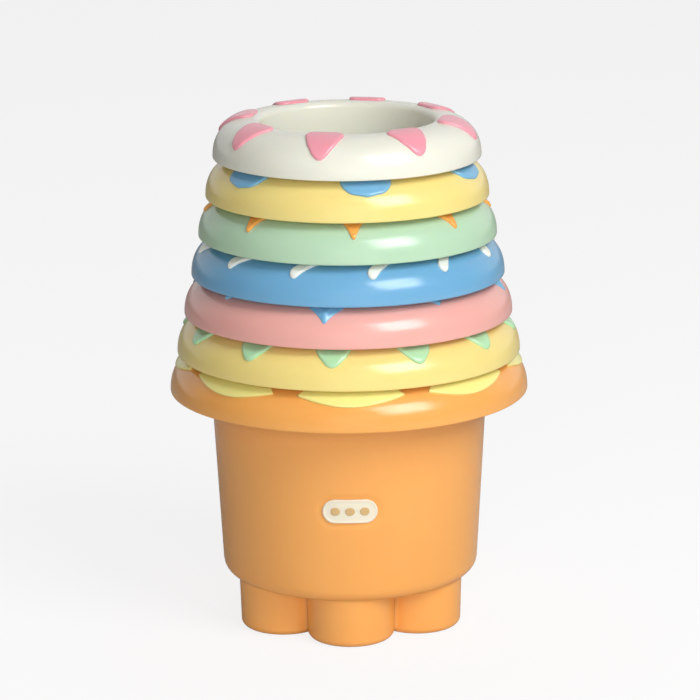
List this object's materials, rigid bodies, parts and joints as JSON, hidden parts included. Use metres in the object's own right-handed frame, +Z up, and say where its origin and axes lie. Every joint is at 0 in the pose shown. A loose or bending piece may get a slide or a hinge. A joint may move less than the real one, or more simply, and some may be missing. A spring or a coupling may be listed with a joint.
{
  "type": "stacking cup tower",
  "caption": "Tower of nested stacking cups in pastel plastic, each with a domed rim, raised coloured shapes and a lobed foot; every cup lifts out.",
  "frame": {"origin": "on the tower's axis, at the underside of the largest cup's foot", "axes": "+Z up along the tower's axis; the badge faces -Y; +X is to the right of someone facing the badge"},
  "size_m": [0.1102, 0.1102, 0.158],
  "materials": {
    "orange_plastic": "satin gloss",
    "yellow_plastic": "satin gloss",
    "pink_plastic": "satin gloss",
    "blue_plastic": "satin gloss",
    "green_plastic": "satin gloss",
    "white_plastic": "satin gloss",
    "lemon_inlay": "satin gloss",
    "mint_inlay": "satin gloss",
    "sky_inlay": "satin gloss",
    "ivory_inlay": "satin gloss",
    "apricot_inlay": "satin gloss",
    "rose_inlay": "satin gloss",
    "badge_ivory": "satin gloss"
  },
  "bodies": {
    "cup1": {"cup1_shell": "orange_plastic", "cup1_inlay": "lemon_inlay", "cup1_retainer": "orange_plastic", "badge": "badge_ivory"},
    "cup2": {"cup2_shell": "yellow_plastic", "cup2_inlay": "mint_inlay", "cup2_retainer": "yellow_plastic"},
    "cup3": {"cup3_shell": "pink_plastic", "cup3_inlay": "sky_inlay", "cup3_retainer": "pink_plastic"},
    "cup4": {"cup4_shell": "blue_plastic", "cup4_inlay": "ivory_inlay", "cup4_retainer": "blue_plastic"},
    "cup5": {"cup5_shell": "green_plastic", "cup5_inlay": "apricot_inlay", "cup5_retainer": "green_plastic"},
    "cup6": {"cup6_shell": "yellow_plastic", "cup6_inlay": "sky_inlay", "cup6_retainer": "yellow_plastic"},
    "cup7": {"cup7_shell": "white_plastic", "cup7_inlay": "rose_inlay", "cup7_retainer": "white_plastic"}
  },
  "joints": [
    {"name": "cup2_lift", "type": "slide", "parent": "cup1", "child": "cup2", "axis": [0, 0, 1], "range_m": [0, 0.075]},
    {"name": "cup3_lift", "type": "slide", "parent": "cup2", "child": "cup3", "axis": [0, 0, 1], "range_m": [0, 0.07]},
    {"name": "cup4_lift", "type": "slide", "parent": "cup3", "child": "cup4", "axis": [0, 0, 1], "range_m": [0, 0.065]},
    {"name": "cup5_lift", "type": "slide", "parent": "cup4", "child": "cup5", "axis": [0, 0, 1], "range_m": [0, 0.059]},
    {"name": "cup6_lift", "type": "slide", "parent": "cup5", "child": "cup6", "axis": [0, 0, 1], "range_m": [0, 0.054]},
    {"name": "cup7_lift", "type": "slide", "parent": "cup6", "child": "cup7", "axis": [0, 0, 1], "range_m": [0, 0.048]}
  ]
}
